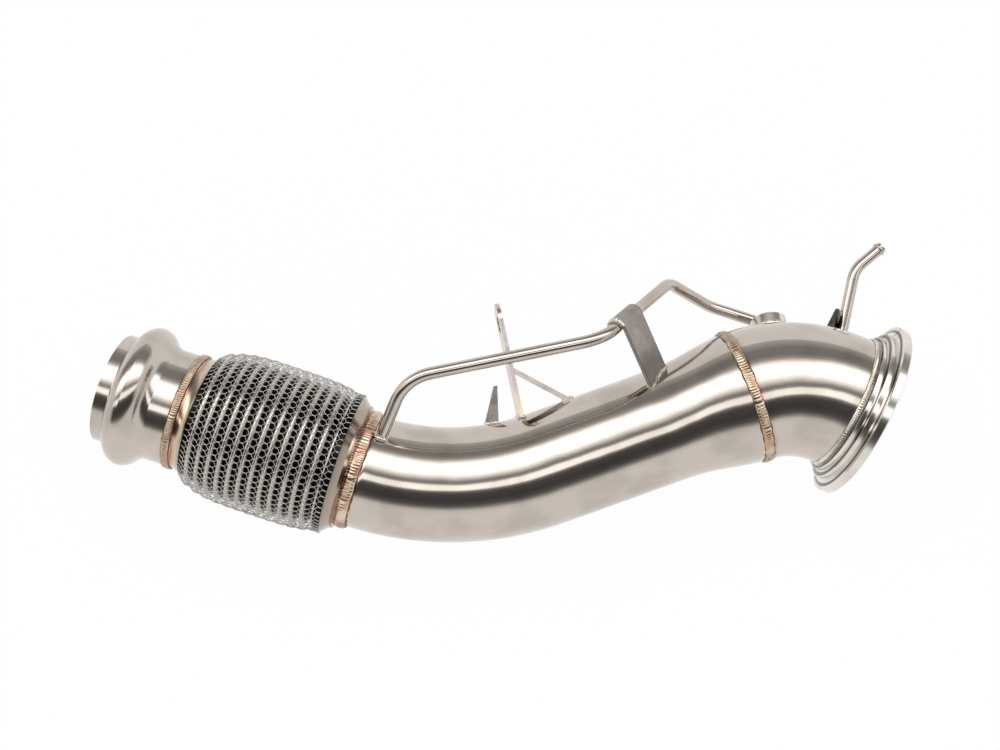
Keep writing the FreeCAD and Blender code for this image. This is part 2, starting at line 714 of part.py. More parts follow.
tab_frame = outward(on_bend(size("tab_station")), size("tab_clock"), size("pipe_radius"))
tab_outline = [
    ("-tab_base / 2", "-embed"),
    ("tab_base / 2", "-embed"),
    ("tab_base / 2", "0"),
    ("tab_base / 2 + tab_reach", "tab_height"),
    ("tab_base / 2 + tab_reach - tab_tip", "tab_height"),
    ("-tab_base / 2", "0"),
]
tab_blank = padded("tab_blank", tab_outline, "tab_thickness", tab_frame * turn_about(Vector(1, 0, 0), 90))
node(cut("side_tab", tab_blank, main_skin), "side_tab")


def tab_seam(side):
    ends = [shift(end * size("tab_base / 2"), side * size("tab_thickness / 2"), 0) for end in (-1, 1)]
    return [(tab_frame * end).Base for end in ends]


seam_bead("tab_weld", [tab_seam(1), tab_seam(-1)], main_skin, tab_blank)

# Clip: a strip that stands on the elbow's back and holds the pressure tube near its end

clip_run = (corner("last") - corner("hidden")).normalize()
clip_top = corner("hidden") + clip_run * size("clip_seat")
clip_root = outward(on_elbow(size("clip_station")), size("clip_clock"), size("large_radius"))
clip_axis = (clip_root.Base - clip_top).normalize()
clip_side = clip_axis.cross(clip_run).normalize()
clip_corner = clip_top + clip_side * size("line_radius + clip_thickness / 2") - clip_axis * size("clip_overhang")
clip_frame = Placement(clip_corner, Rotation(clip_side, clip_axis.cross(clip_side), clip_axis, "ZXY"))
clip_blank = primitive(
    "Box", clip_frame * shift(-size("clip_thickness") / 2, -size("clip_width") / 2, 0),
    Length="clip_thickness", Width="clip_width",
)
clip_blank.Height = (clip_root.Base - clip_top).Length + size("clip_overhang + embed")
node(cut("tube_clip", clip_blank, elbow_skin), "tube_clip")
clip_touch = clip_top + clip_side * size("line_radius")
clip_half = clip_frame.Rotation.multVec(Vector(0, size("clip_width") / 2, 0))
clip_bead = clip_touch + clip_axis * size("small_bead")
clip_seam = [clip_bead - clip_half, clip_bead + clip_half]
seam_bead("clip_weld", [clip_seam], line_rod, clip_blank)


# The parts go to their places, the pipe is rolled to its attitude and set down on the floor

def set_down(rest):
    for item, place in placed:
        item.Placement = rest * place
    doc.recompute()


roll = turn_about(Vector(1, 0, 0), size("rest_roll"))
pitch = turn_about(Vector(0, 1, 0), size("rest_pitch"))
attitude = pitch * roll
set_down(attitude)
box = FreeCAD.BoundBox()
for item in nodes:
    box.add(item.Shape.optimalBoundingBox(False))
rest = shift(-box.Center.x, -box.Center.y, -box.ZMin) * attitude
set_down(rest)

for item in doc.Objects:
    if {"Invalid", "Error"} & set(item.State):
        raise RuntimeError(f"{item.Label} failed")
os.makedirs("parts", exist_ok=True)
for item in nodes:
    if item.Shape.isNull() or not item.Shape.isValid():
        raise RuntimeError(f"{item.Label} has no valid shape")
    item.Shape.exportStep(f"parts/{item.Label}.step")
    print(item.Label, len(item.Shape.Solids), round(item.Shape.Volume, 1))
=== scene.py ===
# %% [markdown]
# # A stainless turbo downpipe
#
# A downpipe carries exhaust gas from a turbocharger to the rest of the exhaust. This one is a
# 3 inch stainless pipe with a flexible section at one end and a turned flange at the other.
# The solids come from a CAD model and stay as they are. This lesson gives them their finishes,
# and makes in mesh what the CAD model keeps plain: the knitted wire, the round folds of the
# bellows under it, the ripples of the weld beads, the thread of the sensor boss, and a main pipe
# whose skin is one smooth surface.

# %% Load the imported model
import math

import bmesh
import bpy
from mathutils import Matrix, Vector


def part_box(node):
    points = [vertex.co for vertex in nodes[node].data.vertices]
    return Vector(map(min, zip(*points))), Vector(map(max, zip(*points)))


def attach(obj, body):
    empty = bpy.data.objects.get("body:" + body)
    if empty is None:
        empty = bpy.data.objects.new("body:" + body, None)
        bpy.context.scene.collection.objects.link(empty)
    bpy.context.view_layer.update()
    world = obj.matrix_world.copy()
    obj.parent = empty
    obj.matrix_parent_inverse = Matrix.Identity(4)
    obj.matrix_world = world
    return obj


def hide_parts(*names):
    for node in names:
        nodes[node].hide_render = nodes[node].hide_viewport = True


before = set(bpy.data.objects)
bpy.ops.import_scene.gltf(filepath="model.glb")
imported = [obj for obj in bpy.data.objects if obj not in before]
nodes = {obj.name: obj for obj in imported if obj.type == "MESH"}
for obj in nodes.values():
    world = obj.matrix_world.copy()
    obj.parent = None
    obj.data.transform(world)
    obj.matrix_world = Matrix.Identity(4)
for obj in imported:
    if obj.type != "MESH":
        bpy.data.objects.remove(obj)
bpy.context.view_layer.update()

# %% [markdown]
# ## Where things are
#
# The pipe's centreline lies in one plane, which is tilted a little because the pipe rests on
# its braid, its flange and the tip of its small tube. A new piece that has to sit on the pipe
# needs that plane, so the same few bends and lengths are laid out again here as matrices. A
# frame's z runs along the pipe, its x points left in the plane and its y out of the plane.

# %% The pipe's sizes and the plane of its centreline
# Millimetres and degrees, as in the CAD model
FLEX_LENGTH = 121.5
BEND_RADIUS, BEND_ANGLE = 187, 38.3
RUN_LENGTH, CONE_LENGTH, PIPE_LENGTH = 97, 37, 139
ELBOW_RADIUS, ELBOW_ANGLE = 86, 45
SMALL_RADIUS, LARGE_RADIUS, WALL = 38.1, 44.45, 1.6

MM = 0.001
MM_PER_METRE = 1000
ROLL = math.radians(2.335)
PITCH = math.radians(-1.066)
FIRST_HEADING = math.radians(-18.5)

left = Vector((-math.sin(FIRST_HEADING), math.cos(FIRST_HEADING), 0))
ahead = Vector((math.cos(FIRST_HEADING), math.sin(FIRST_HEADING), 0))
weld_low, weld_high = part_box("outlet_weld")
tilt = Matrix.Rotation(PITCH, 4, "Y") @ Matrix.Rotation(ROLL, 4, "X")
to_joint = Matrix.Translation(ahead * FLEX_LENGTH * MM)
plane = Matrix.Translation((weld_low + weld_high) / 2) @ tilt @ to_joint
print("joint between the flexible section and the main pipe", list(plane.translation))


# %% Frames along the centreline
def shifted(place, x, y, z):
    """A frame moved along its own axes, in millimetres."""
    return place @ Matrix.Translation(Vector((x, y, z)) * MM)


def bent(place, radius, degrees):
    """The frame after a bend of that radius, to the left where the angle is positive."""
    side = math.copysign(radius, degrees)
    turn = Matrix.Rotation(math.radians(degrees), 4, "Y")
    return shifted(shifted(place, side, 0, 0) @ turn, -side, 0, 0)


facing = Matrix((left, Vector((0, 0, 1)), ahead)).transposed().to_4x4()
joint = plane @ facing
flex_start = shifted(joint, 0, 0, -FLEX_LENGTH)
bend_end = bent(joint, BEND_RADIUS, BEND_ANGLE)
elbow_weld = shifted(bend_end, 0, 0, PIPE_LENGTH)
flange_weld = bent(elbow_weld, ELBOW_RADIUS, -ELBOW_ANGLE)
print("turbo flange starts at", list(flange_weld.translation))

# %% [markdown]
# ## The camera
#
# The photograph looks straight down on the plane of the pipe, so the camera's matrix is the
# plane's own, moved up along its z. A 45 mm lens gives the same slight view into the flare and
# under the flange as the photograph has.

# %% The camera
LENS, SENSOR = 45, 36
CAMERA_PLACE = (92.07, 62.93, 828)
camera_data = bpy.data.cameras.new("camera")
camera_data.lens = LENS
camera_data.sensor_width = SENSOR
camera = bpy.data.objects.new("camera", camera_data)
camera.matrix_world = shifted(plane, *CAMERA_PLACE)
bpy.context.scene.collection.objects.link(camera)
bpy.context.scene.camera = camera
bpy.context.scene.view_settings.view_transform = "Standard"
print("camera", list(camera.matrix_world.translation))

# %% [markdown]
# ## Sums of shader sockets
#
# A procedural finish is arithmetic on positions. Node by node that is long to write and hard
# to read, so a small class stands for one socket and turns Python's operators into Math nodes.
# Every other node comes from its method `make`, which sets the node's own settings first and
# then its inputs.


# %% One class for shader maths
class Shade:
    """A socket of a node tree that can take part in sums."""

    def __init__(self, tree, socket=None):
        self.tree = tree
        self.socket = socket

    def make(self, kind, settings=None, inputs=None, output=0):
        """Adds a node with these settings and inputs, and gives one of its outputs."""
        made = self.tree.nodes.new(kind)
        for name, value in (settings or {}).items():
            if name == "stops":
                fill_ramp(made.color_ramp, value)
            else:
                setattr(made, name, value)
        for name, value in (inputs or {}).items():
            if isinstance(value, Shade):
                self.tree.links.new(value.socket, made.inputs[name])
            else:
                made.inputs[name].default_value = value
        return Shade(self.tree, made.outputs[output] if made.outputs else None)

    def maths(self, operation, *values):
        """Adds a Math node, and gives its result."""
        return self.make("ShaderNodeMath", {"operation": operation}, dict(enumerate(values)))

    def __add__(self, other):
        return self.maths("ADD", self, other)

    __radd__ = __add__

    def __sub__(self, other):
        return self.maths("SUBTRACT", self, other)

    def __rsub__(self, other):
        return self.maths("SUBTRACT", other, self)

    def __mul__(self, other):
        return self.maths("MULTIPLY", self, other)

    __rmul__ = __mul__

    def __truediv__(self, other):
        return self.maths("DIVIDE", self, other)


def fill_ramp(ramp, stops):
    """Gives a colour ramp its stops, each a place from 0 to 1 and a colour."""
    for place, colour in stops[1:-1]:
        ramp.elements.new(place)
    for element, (place, colour) in zip(ramp.elements, stops):
        element.position = place
        element.color = (*colour, 1)


# %% Helpers that most finishes share
def soft_step(value, start, end):
    """0 before start, 1 after end, and a smooth rise between them."""
    settings = {"interpolation_type": "SMOOTHSTEP"}
    inputs = {"Value": value, "From Min": start, "From Max": end}
    return value.make("ShaderNodeMapRange", settings, inputs)


def mixed(factor, first, second):
    """A colour between two colours."""
    return factor.make("ShaderNodeMix", {"data_type": "RGBA"}, {0: factor, 6: first, 7: second}, 2)


def noise(place, size, detail=2.0):
    """Cloudy noise whose lumps are about that many millimetres wide."""
    inputs = {"Vector": place, "Scale": 1 / (size * MM), "Detail": detail}
    return place.make("ShaderNodeTexNoise", {}, inputs)


def clouded(place, size, light, dark, end=0.65):
    """Two colours in clouds about that many millimetres wide."""
    return mixed(soft_step(noise(place, size), 0.4, end), light, dark)


def measured(place, axis, origin):
    """Millimetres past an origin, along an axis."""
    inputs = {0: place, 1: axis}
    dot = place.make("ShaderNodeVectorMath", {"operation": "DOT_PRODUCT"}, inputs, "Value")
    return (dot - axis.dot(origin)) * MM_PER_METRE


def along_axis(place, frame_there):
    """Millimetres past a frame, along its z."""
    axis = (frame_there.to_3x3() @ Vector((0, 0, 1))).normalized()
    return measured(place, axis, frame_there.translation)


def from_axis(place, frame_there):
    """Millimetres from a frame's z axis."""
    inverse = frame_there.to_3x3().inverted()
    origin = frame_there.translation
    across, out = [measured(place, row, origin) for row in (inverse[0], inverse[1])]
    return place.maths("SQRT", across * across + out * out)


# %% [markdown]
# ## Light, floor and background
#
# Polished steel shows what is around it, so its look is made by the room. The bands that run
# along a polished tube are a bright softbox overhead, dark gaps beside it and the pale floor.
# The same bands follow the tube round its bends, which means that the lights are long strips
# side by side along x. One ramp over the angle round the x axis describes such a room, and its
# two far ends are plain grey. The camera sees the background and the floor as white, as in a
# product photograph. The floor is white in reflections too, and still takes a faint shadow.

# %% The room's light
# Angle from straight up towards +y in degrees, and how bright the room is there
ROOM = [
    (-180, 1.0), (-60, 1.0), (-51, 0.9), (-45, 0.35), (-40, 0.13), (-30, 0.07), (-16, 0.1),
    (-11, 0.3), (-8.5, 1.9), (0, 1.8), (3, 0.4), (8, 0.34), (13, 1.0), (20, 2.0), (25, 2.6),
    (42, 2.6), (47, 1.6), (53, 0.55), (60, 0.3), (74, 0.3), (90, 0.6), (102, 0.8), (180, 0.9),
]
ROOM_PEAK = 2.6
ENDS_FROM, ENDS_TO = 0.72, 0.95
FLOOR_GLOW = 0.975

world = bpy.data.worlds.new("studio")
bpy.context.scene.world = world
world.use_nodes = True
world.node_tree.nodes.clear()
room = Shade(world.node_tree)
toward = room.make("ShaderNodeTexCoord")
axes = [room.make("ShaderNodeSeparateXYZ", {}, {"Vector": toward}, output) for output in "XYZ"]
turn = room.maths("ARCTAN2", axes[1], axes[2]) / (2 * math.pi) + 0.5
stops = [(0.5 + degrees / 360, [level / ROOM_PEAK] * 3) for degrees, level in ROOM]
bands = room.make("ShaderNodeValToRGB", {"stops": stops}, {"Fac": turn})
room_ends = soft_step(room.maths("ABSOLUTE", axes[0]), ENDS_FROM, ENDS_TO)
light = mixed(room_ends, bands, (0.36, 0.36, 0.36, 1))
glow = room.make("ShaderNodeBackground", {}, {"Color": light, "Strength": ROOM_PEAK})
white = room.make("ShaderNodeBackground", {}, {"Color": (1, 1, 1, 1), "Strength": 1})
seen = room.make("ShaderNodeLightPath", {}, {}, "Is Camera Ray")
both = room.make("ShaderNodeMixShader", {}, {0: seen, 1: glow, 2: white})
room.make("ShaderNodeOutputWorld", {}, {"Surface": both})
print("room bands", len(ROOM))


# %% The floor
floor_mesh = bmesh.new()
bmesh.ops.create_grid(floor_mesh, x_segments=1, y_segments=1, size=4)
floor_data = bpy.data.meshes.new("floor")
floor_mesh.to_mesh(floor_data)
floor_mesh.free()
floor = bpy.data.objects.new("floor", floor_data)
bpy.context.scene.collection.objects.link(floor)

paper = bpy.data.materials.new("white_paper")
paper.use_nodes = True
paper.node_tree.nodes.clear()
sheet = Shade(paper.node_tree)
matt = sheet.make("ShaderNodeBsdfDiffuse", {}, {"Color": (0.85, 0.85, 0.85, 1)})
shine = sheet.make("ShaderNodeEmission", {}, {"Color": (1, 1, 1, 1), "Strength": 1})
rays = [
    sheet.make("ShaderNodeLightPath", {}, {}, name)
    for name in ("Is Camera Ray", "Is Glossy Ray", "Is Transmission Ray")
]
glowing = sheet.maths("MINIMUM", rays[0] + rays[1] + rays[2], 1) * FLOOR_GLOW
surface = sheet.make("ShaderNodeMixShader", {}, {0: glowing, 1: matt, 2: shine})
sheet.make("ShaderNodeOutputMaterial", {}, {"Surface": surface})
floor_data.materials.append(paper)
print("floor", floor_data.name)

# %% [markdown]
# ## Stainless steel
#
# Polished stainless is a metal with a warm grey colour and a low roughness. It is never quite
# even: the tube waves a little where it was bent, and the polish clouds. Both come from noise in
# the piece's own coordinates. Wide clouds shift the bump, the colour and the roughness, and small
# specks the roughness. Heat tint is a thin oxide film beside each weld. Its colour depends on how
# hot the steel was, so it is a ramp over the distance from the weld.

# %% The steel's colours and tints
STEEL = (0.56, 0.505, 0.455, 1)
STEEL_CLOUD = (0.47, 0.42, 0.375, 1)
TURNED = (0.74, 0.7, 0.65, 1)
TURNED_CLOUD = (0.64, 0.6, 0.55, 1)


def new_finish(name):
    """An empty material, its helper and its coordinates."""
    material = bpy.data.materials.new(name)
    material.use_nodes = True
    material.node_tree.nodes.clear()
    shade = Shade(material.node_tree)
    return material, shade, shade.make("ShaderNodeTexCoord", {}, {}, "Object")


def metal(shade, colour, roughness, height, depth):
    """A metal whose bump is a height that reaches that many millimetres."""
    bump_inputs = {"Height": height, "Distance": depth * MM, "Strength": 1}
    bump = shade.make("ShaderNodeBump", {}, bump_inputs)
    inputs = {"Base Color": colour, "Metallic": 1, "Roughness": roughness, "Normal": bump}
    surface = shade.make("ShaderNodeBsdfPrincipled", {}, inputs)
    shade.make("ShaderNodeOutputMaterial", {}, {"Surface": surface})


def tinted(place, colour, weld, side, reach, stops):
    """The colour with heat tint to one side of a weld, as far as reach in millimetres."""
    past = along_axis(place, weld) * side + (noise(place, 12) - 0.5) * 0.7 * reach
    film = place.make("ShaderNodeValToRGB", {"stops": stops}, {"Fac": past / reach})
    strength = 1 - soft_step(past, 0.3 * reach, reach)
    inside = soft_step(past, -reach, -0.9 * reach)
    return mixed(strength * inside * 0.75, colour, film)


def polished(name, roughness, tints, waves):
    """Polished steel with heat tint beside each weld that is named."""
    material, shade, place = new_finish(name)
    clouds = noise(place, 28)
    specks = noise(place, 2.5, 4.0)
    colour = mixed(soft_step(clouds, 0.42, 0.72), STEEL, STEEL_CLOUD)
    for weld, side, reach, stops in tints:
        colour = tinted(place, colour, weld, side, reach, stops)
    rough = roughness + clouds * 0.03 + specks * 0.02
    metal(shade, colour, rough, clouds + specks * 0.02, waves)
    return material


STRAW_TINT = [
    (0.0, (0.10, 0.065, 0.045)),
    (0.16, (0.24, 0.15, 0.09)),
    (0.3, (0.52, 0.36, 0.22)),
    (0.6, (0.55, 0.43, 0.32)),
    (1.0, (0.56, 0.5, 0.45)),
]
COPPER_TINT = [
    (0.0, (0.16, 0.08, 0.06)),
    (0.25, (0.6, 0.36, 0.26)),
    (0.5, (0.6, 0.45, 0.3)),
    (1.0, (0.56, 0.5, 0.45)),
]
PLUM_TINT = [
    (0.0, (0.12, 0.07, 0.06)),
    (0.3, (0.3, 0.17, 0.19)),
    (0.6, (0.52, 0.4, 0.33)),
    (1.0, (0.56, 0.5, 0.45)),
]
HANGER_TINT = [
    (0.0, (0.62, 0.5, 0.3)),
    (0.35, (0.66, 0.56, 0.4)),
    (0.6, (0.5, 0.38, 0.4)),
    (0.85, (0.5, 0.42, 0.42)),
    (1.0, (0.56, 0.505, 0.455)),
]
print("tints", len(STRAW_TINT), len(COPPER_TINT), len(PLUM_TINT), len(HANGER_TINT))

# %% Polished tube
main_tints = [(joint, 1, 8, COPPER_TINT), (elbow_weld, -1, 6, STRAW_TINT)]
elbow_tints = [(elbow_weld, 1, 8, PLUM_TINT), (flange_weld, -1, 4, STRAW_TINT)]
main_steel = polished("main_pipe_steel", 0.07, main_tints, 0.2)
elbow_steel = polished("elbow_steel", 0.07, elbow_tints, 0.2)
connector_steel = polished("connector_steel", 0.09, [(flex_start, -1, 5, STRAW_TINT)], 0.1)
tube_steel = polished("tube_steel", 0.1, (), 0.05)
print(main_steel.name, elbow_steel.name, connector_steel.name)

# %% [markdown]
# ## Strips and plates
#
# The brackets were cut from sheet and are greyer than the tubes. Along each of the strap's edges
# runs a near-black band of painted shade, at a fixed distance from the strap's middle plane. The
# strap hooks over the small tube, so its frame stands on the tube's line, past one of the tube's
# corners, and its z follows the tube. The hanger plate took its straw and violet tint from the
# weld at its foot, so its colour is a ramp over the distance from there.

# %% Strips, and the strap with painted shade along its edges
# The strap's foot along the straight run, and its middle past a corner of the tube
STRAP_ALONG, STRAP_MIDDLE = 90.5, 27.5
TUBE_CORNER, TUBE_WAY = Vector((-50.5, 54, 44)), Vector((49.1, 39.1, -62))
# Where the painted edge shade and the side face start, from the strap's middle plane
EDGE_SHADE_FROM, EDGE_SHADE_TO = 10.95, 11.1
SIDE_FROM, SIDE_TO = 11.44, 11.49
# The hanger's place on the bend in degrees, and how far its tint reaches
HANGER_ANGLE, HANGER_REACH = 36.5, 40

strap_foot = shifted(bend_end, 0, 0, STRAP_ALONG)
strap_way = (plane.to_3x3() @ TUBE_WAY).normalized()
from_foot = plane.to_3x3() @ TUBE_CORNER + strap_way * STRAP_MIDDLE
strap_seat = strap_foot.translation + from_foot * MM
strap_turn = strap_way.to_track_quat("Z", "X").to_matrix().to_4x4()
strap_place = Matrix.Translation(strap_seat) @ strap_turn

plate_steel, shade, place = new_finish("plate_steel")
tone = clouded(place, 10, (0.42, 0.385, 0.355, 1), (0.3, 0.27, 0.25, 1))
metal(shade, tone, 0.17 + noise(place, 3) * 0.06, noise(place, 9), 0.04)

strap_steel, shade, place = new_finish("strap_steel")
across = shade.maths("ABSOLUTE", along_axis(place, strap_place))
# A near-black band of painted shade runs along each edge of the strap
edge_shade = soft_step(across, EDGE_SHADE_FROM, EDGE_SHADE_TO)
side_face = soft_step(across, SIDE_FROM, SIDE_TO)
grey = clouded(place, 12, (0.39, 0.355, 0.33, 1), (0.31, 0.28, 0.26, 1))
with_edge_shade = mixed(edge_shade, grey, (0.05, 0.042, 0.038, 1))
tone = mixed(side_face, with_edge_shade, (0.3, 0.27, 0.25, 1))
metal(shade, tone, 0.36 + noise(place, 3) * 0.08, noise(place, 14), 0.05)

hanger_foot = shifted(bent(joint, BEND_RADIUS, HANGER_ANGLE), SMALL_RADIUS, 0, 0)
hanger_steel, shade, place = new_finish("hanger_steel")
between = {0: place, 1: hanger_foot.translation}
metres = shade.make("ShaderNodeVectorMath", {"operation": "DISTANCE"}, between, "Value")
cloudy = metres * MM_PER_METRE / HANGER_REACH + (noise(place, 7) - 0.5) * 0.3
film = shade.make("ShaderNodeValToRGB", {"stops": HANGER_TINT}, {"Fac": cloudy})
metal(shade, film, 0.18 + noise(place, 3) * 0.08, noise(place, 6), 0.08)
print(strap_steel.name, hanger_steel.name)


# %% [markdown]
# ## Turned pieces and collars
#
# The flange and the boss were made on a lathe, so their marks are fine rings about their own
# axis. A sine of the distance from the axis and along it makes the rings. Each inner corner of
# the flange's steps has a thin dark line of painted shade. The collars were rolled from sheet and
# have no rings. They were welded close to their ends and are thin, so the tint runs over their
# whole width: bronze and purple by the weld, then gold, then grey. Under the wire they are painted
# near black as shade.

# %% Turned steel
COLLAR_REACH = 16


def turned_rings(name, place_there, roughness, pitch, corners=()):
    """Steel with fine tool marks about a frame's axis, and painted shade in each inner corner."""
    material, shade, place = new_finish(name)
    travel = along_axis(place, place_there) + from_axis(place, place_there)
    marks = shade.maths("SINE", travel * (2 * math.pi / pitch))
    clouds = noise(place, 16)
    colour = mixed(soft_step(clouds, 0.42, 0.72), TURNED, TURNED_CLOUD)
    # Each inner corner gets a thin dark line of painted shade
    for corner in corners:
        off = shade.maths("ABSOLUTE", along_axis(place, place_there) - corner)
        colour = mixed(soft_step(off, 0.12, 0.3), (0.1, 0.085, 0.075, 1), colour)
    metal(shade, colour, roughness + clouds * 0.06, marks * 0.5 + clouds * 2, 0.005)
    return material


def collar_steel(name, weld, side, stops, shown):
    """Thin steel, tinted over its whole width, with painted shade past the shown width, under the
    wire.
    """
    material, shade, place = new_finish(name)
    distance = along_axis(place, weld) * side
    past = distance + (noise(place, 22) - 0.5) * 4
    film = place.make("ShaderNodeValToRGB", {"stops": stops}, {"Fac": past / COLLAR_REACH})
    patches = soft_step(noise(place, 30), 0.45, 0.7)
    colour = mixed(patches * 0.5, film, STEEL)
    # Past the shown width, under the wire, the collar is painted near black as shade
    colour = mixed(soft_step(distance, shown - 0.3, shown), colour, (0.012, 0.011, 0.01, 1))
    metal(shade, colour, 0.12 + patches * 0.06, noise(place, 9), 0.06)
    return material


OUTLET_FILM = [
    (0.0, (0.55, 0.33, 0.22)), (0.18, (0.66, 0.42, 0.27)), (0.26, (0.3, 0.13, 0.12)),
    (0.36, (0.55, 0.38, 0.25)), (0.5, (0.62, 0.5, 0.34)), (0.6, (0.4, 0.34, 0.26)),
    (1.0, (0.28, 0.24, 0.2)),
]
INLET_FILM = [
    (0.0, (0.26, 0.18, 0.14)), (0.3, (0.36, 0.27, 0.2)), (0.38, (0.18, 0.12, 0.1)),
    (0.44, (0.44, 0.33, 0.24)), (0.62, (0.36, 0.31, 0.25)), (0.78, (0.28, 0.25, 0.21)),
    (1.0, (0.2, 0.18, 0.16)),
]
# Millimetres past the weld: the flange's inner corners, each with a line of painted shade, and
# how much the wire leaves of a collar, past which the collar is painted near black as shade
FLANGE_SHADE_LINES = (2.1, 5.6, 9.9)
OUTLET_SHOWN, INLET_SHOWN = 10.9, 12.6
flange_steel = turned_rings("flange_steel", flange_weld, 0.06, 0.5, FLANGE_SHADE_LINES)
outlet_collar_steel = collar_steel("outlet_collar_steel", flex_start, 1, OUTLET_FILM, OUTLET_SHOWN)
inlet_collar_steel = collar_steel("inlet_collar_steel", joint, -1, INLET_FILM, INLET_SHOWN)
print(flange_steel.name, outlet_collar_steel.name, inlet_collar_steel.name)

# %% [markdown]
# ## Weld metal
#
# A hand-laid bead freezes in ripples and keeps the colour of its oxide: copper and pink where it
# stayed hot, straw where it cooled faster. The ripples are in the mesh, and an attribute of the
# mesh says how deep in a groove each point lies. The finish darkens those grooves with painted
# shade, darkens the two edges of the bead, and blotches it along its length. The small beads of the
# brackets have no ripples in their mesh, so theirs is a bump of round scales, with painted shade
# in the low borders between the scales.


# %% Weld finishes
SCALES_PER_METRE = 650.0


def weld_metal(name, middle, edge, bright, frame_there, half_width, roughness):
    """Weld metal: dark edges, painted shade in grooves, lighter and darker blotches along the bead.
    """
    material, shade, place = new_finish(name)
    blotches = soft_step(noise(place, 9, 3.0), 0.42, 0.6)
    burnt = soft_step(noise(place, 17), 0.56, 0.7)
    colour = mixed(burnt * 0.45, mixed(blotches, middle, bright), edge)
    groove = shade.make("ShaderNodeAttribute", {"attribute_name": "groove"}, {}, "Fac")
    # The grooves between the ripples are darkened with painted shade
    colour = mixed(groove * 0.45, colour, edge)
    if half_width:
        off = shade.maths("ABSOLUTE", along_axis(place, frame_there)) + (noise(place, 3) - 0.5) * 0.5
        colour = mixed(soft_step(off, 0.72 * half_width, 0.95 * half_width), colour, edge)
    rough = roughness + noise(place, 1.2) * 0.12
    if half_width:
        metal(shade, colour, rough, noise(place, 1.0), 0.05)
    else:
        inputs = {"Vector": place, "Scale": SCALES_PER_METRE}
        scales = shade.make("ShaderNodeTexVoronoi", {}, inputs, "Distance")
        # The low borders between the round scales are darkened with painted shade
        colour = mixed(soft_step(scales, 0.4, 0.7) * 0.5, colour, edge)
        metal(shade, colour, rough, 1 - scales, 0.35)
    return material


# Colours of a bead: its middle, its edges and the painted shade in its grooves, and its lighter
# blotches
COPPER = ((0.6, 0.36, 0.255, 1), (0.09, 0.05, 0.036, 1), (0.7, 0.6, 0.47, 1))
TARNISHED = ((0.5, 0.35, 0.25, 1), (0.09, 0.055, 0.04, 1), (0.58, 0.47, 0.35, 1))
STRAW = ((0.52, 0.36, 0.24, 1), (0.14, 0.08, 0.05, 1), (0.66, 0.55, 0.4, 1))
BRIGHT = ((0.66, 0.62, 0.56, 1), (0.2, 0.17, 0.14, 1), (0.78, 0.75, 0.7, 1))
outlet_middle = shifted(flex_start, 0, 0, 0.6)
joint_middle = shifted(joint, 0, 0, -1.3)
outlet_bead = weld_metal("outlet_bead", *TARNISHED, outlet_middle, 2.9, 0.2)
joint_bead = weld_metal("joint_bead", *COPPER, joint_middle, 4.5, 0.1)
elbow_bead = weld_metal("elbow_bead", *STRAW, elbow_weld, 3.6, 0.14)
flange_bead = weld_metal("flange_bead", *BRIGHT, flange_weld, 1.9, 0.12)
small_bead = weld_metal("small_bead", *BRIGHT, joint, 0, 0.12)
print(outlet_bead.name, joint_bead.name, elbow_bead.name, flange_bead.name)


# %% [markdown]
# ## Mesh helpers
#
# Each new piece ends the same way: its normals point outwards, its place is in its mesh, and it
# rides on the pipe's only body.


# %% Turning a bmesh into a piece
def piece(name, mesh, material):
    """Makes a finished object from a bmesh whose place is already in it."""
    bmesh.ops.recalc_face_normals(mesh, faces=mesh.faces)
    data = bpy.data.meshes.new(name)
    mesh.to_mesh(data)
    mesh.free()
    data.shade_smooth()
    data.materials.append(material)
    item = bpy.data.objects.new(name, data)
    bpy.context.scene.collection.objects.link(item)
    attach(item, "root")
    data.calc_loop_triangles()
    print(name, len(data.loop_triangles), "triangles")
    return item


# %% [markdown]
# ## Rippled weld rings
#
# A ring weld is a low bead with one crescent ripple for each dip of the filler wire. A flat
# ellipse is spun round the pipe in small steps, and each vertex is then lifted by a wave. The
# wave bends backwards towards the bead's edges, which makes crescents of the ripples. A hand is
# never quite even, so slow sines let the ripples drift, and the bead swells and narrows. The
# bead's underside lies a little way inside the pipe.

# %% The weld rings
SECTION_SIDES = 14
STEPS_PER_RIPPLE = 6
SINK = 0.5
RIPPLE_HEIGHT, RIPPLE_LEVEL, CRESCENT = 0.45, 0.75, 1.9
GROOVE_SHARPNESS, EDGE_FADE = 2.2, 0.6
# Sines round the pipe, each with a height, a count and a phase
DRIFT = ((1.5, 5, 0), (0.9, 13, 1), (0.5, 29, 0))
SWELL = ((0.09, 9, 2), (0.07, 23, 0))
STRETCH = ((0.07, 7, 0), (0.06, 31, 1))


def wavering(waves, around, level=0):
    """A level with sines round the pipe added to it."""
    return sum((height * math.sin(count * around + phase) for height, count, phase in waves), level)


